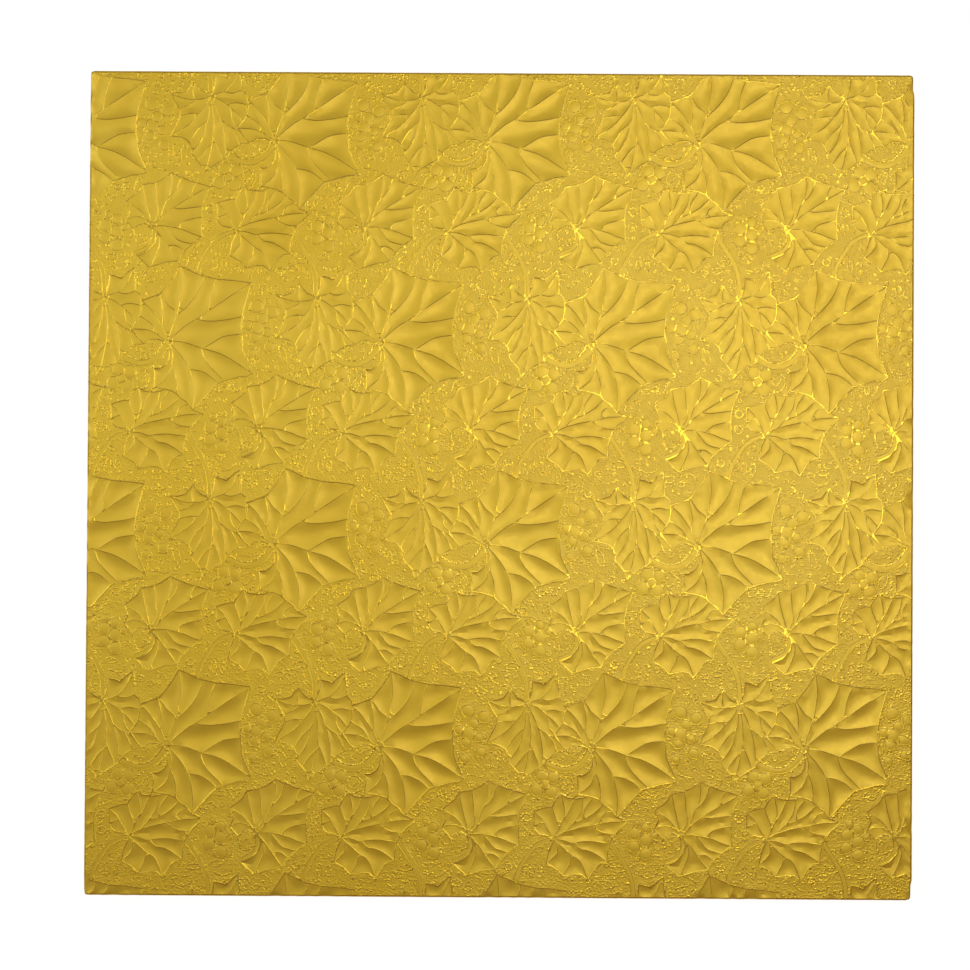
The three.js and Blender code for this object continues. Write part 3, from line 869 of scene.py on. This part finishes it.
def white_floor():
    """Matt white with a faint glow for light that bounces, and nearly pure white where it is seen."""
    material, tree = blank("white_table")
    ray = node(tree, "ShaderNodeLightPath").outputs
    seen = node(tree, "ShaderNodeMath", {"operation": "ADD"},
                {0: ray["Is Camera Ray"], 1: ray["Is Glossy Ray"]})
    seen = node(tree, "ShaderNodeMath", {"operation": "ADD", "use_clamp": True},
                {0: seen.outputs[0], 1: ray["Is Transmission Ray"]}).outputs[0]
    matt = node(tree, "ShaderNodeBsdfDiffuse", {"Color": linear("#f4f4f4")})
    under_light = node(tree, "ShaderNodeEmission", {"Color": (1, 1, 1, 1), "Strength": 0.38})
    bouncing = node(tree, "ShaderNodeAddShader", {}, {0: matt.outputs[0], 1: under_light.outputs[0]})
    # The seen part keeps a little diffuse, so that the board's shadow still shows on it.
    faint = node(tree, "ShaderNodeBsdfDiffuse", {"Color": linear("#666666")})
    glow = node(tree, "ShaderNodeEmission", {"Color": (1, 1, 1, 1), "Strength": 0.95})
    bright = node(tree, "ShaderNodeAddShader", {}, {0: faint.outputs[0], 1: glow.outputs[0]})
    top = node(tree, "ShaderNodeMixShader", {}, {0: seen, 1: bouncing.outputs[0], 2: bright.outputs[0]})
    from_below = node(tree, "ShaderNodeNewGeometry").outputs["Backfacing"]
    clear = node(tree, "ShaderNodeBsdfTransparent")
    table = node(tree, "ShaderNodeMixShader", {}, {0: from_below, 1: top.outputs[0], 2: clear.outputs[0]})
    node(tree, "ShaderNodeOutputMaterial", links={"Surface": table.outputs[0]})
    return material


floor_mesh.materials.append(white_floor())

# The light
# A soft room, pale towards the upper left and warm and dim towards the lower right, with three soft lamps:
# a large one at the left, a weak one at the upper right, and one near the camera for the foil's bright zone.
bright_side = (-0.48, 0.38, 0.64)
room_colours = ("#9c5518", "#c9c9c9")
world = bpy.data.worlds.new("room")
bpy.context.scene.world = world
world.use_nodes = True
room = world.node_tree
room.nodes.clear()
room_way = node(room, "ShaderNodeTexCoord").outputs["Generated"]
room_tilt = node(room, "ShaderNodeVectorMath", {"operation": "DOT_PRODUCT", 1: bright_side},
                 {0: room_way}).outputs["Value"]
room_share = node(room, "ShaderNodeMapRange", {"From Min": 0.075, "From Max": 0.95, "To Min": 0.3},
                  {"Value": room_tilt}).outputs[0]
room_colour = node(room, "ShaderNodeMix",
                   {"data_type": "RGBA", "A": linear(room_colours[0]), "B": linear(room_colours[1])},
                   {"Factor": room_share}).outputs[2]
room_air = node(room, "ShaderNodeBackground", {"Strength": 0.65}, {"Color": room_colour})
node(room, "ShaderNodeOutputWorld", links={"Surface": room_air.outputs[0]})


def lamp(name, place, size, power):
    """A square soft lamp that points at the board's middle: metres and watts."""
    light = bpy.data.lights.new(name, "AREA")
    light.shape = "SQUARE"
    light.size = size
    light.energy = power
    obj = bpy.data.objects.new(name, light)
    obj.location = place
    obj.rotation_euler = (-Vector(place)).to_track_quat("-Z", "Y").to_euler()
    bpy.context.collection.objects.link(obj)


lamp("window_lamp", place=(-0.78, 0.22, 1.25), size=0.7, power=2.6)
lamp("ceiling_lamp", place=(0.55, 0.50, 1.2), size=0.8, power=0.9)
lamp("overhead_lamp", place=(0.20, 0.10, 1.3), size=0.5, power=2.1)

# The camera
# Straight above the board, turned a little, as the photo was taken. Its lens fills the square frame with
# the board from 0.7 m.
camera_place = (-2.1, -10.0, 710.4)
camera_turn = (0.796, 0.183, 0.352)
camera_data = bpy.data.cameras.new("camera")
camera_data.lens = 85.0
camera_data.sensor_width = 36.0
camera = bpy.data.objects.new("camera", camera_data)
camera.location = tuple(c * MM for c in camera_place)
camera.rotation_euler = tuple(math.radians(a) for a in camera_turn)
bpy.context.collection.objects.link(camera)
bpy.context.scene.camera = camera
bpy.context.scene.view_settings.view_transform = "Standard"
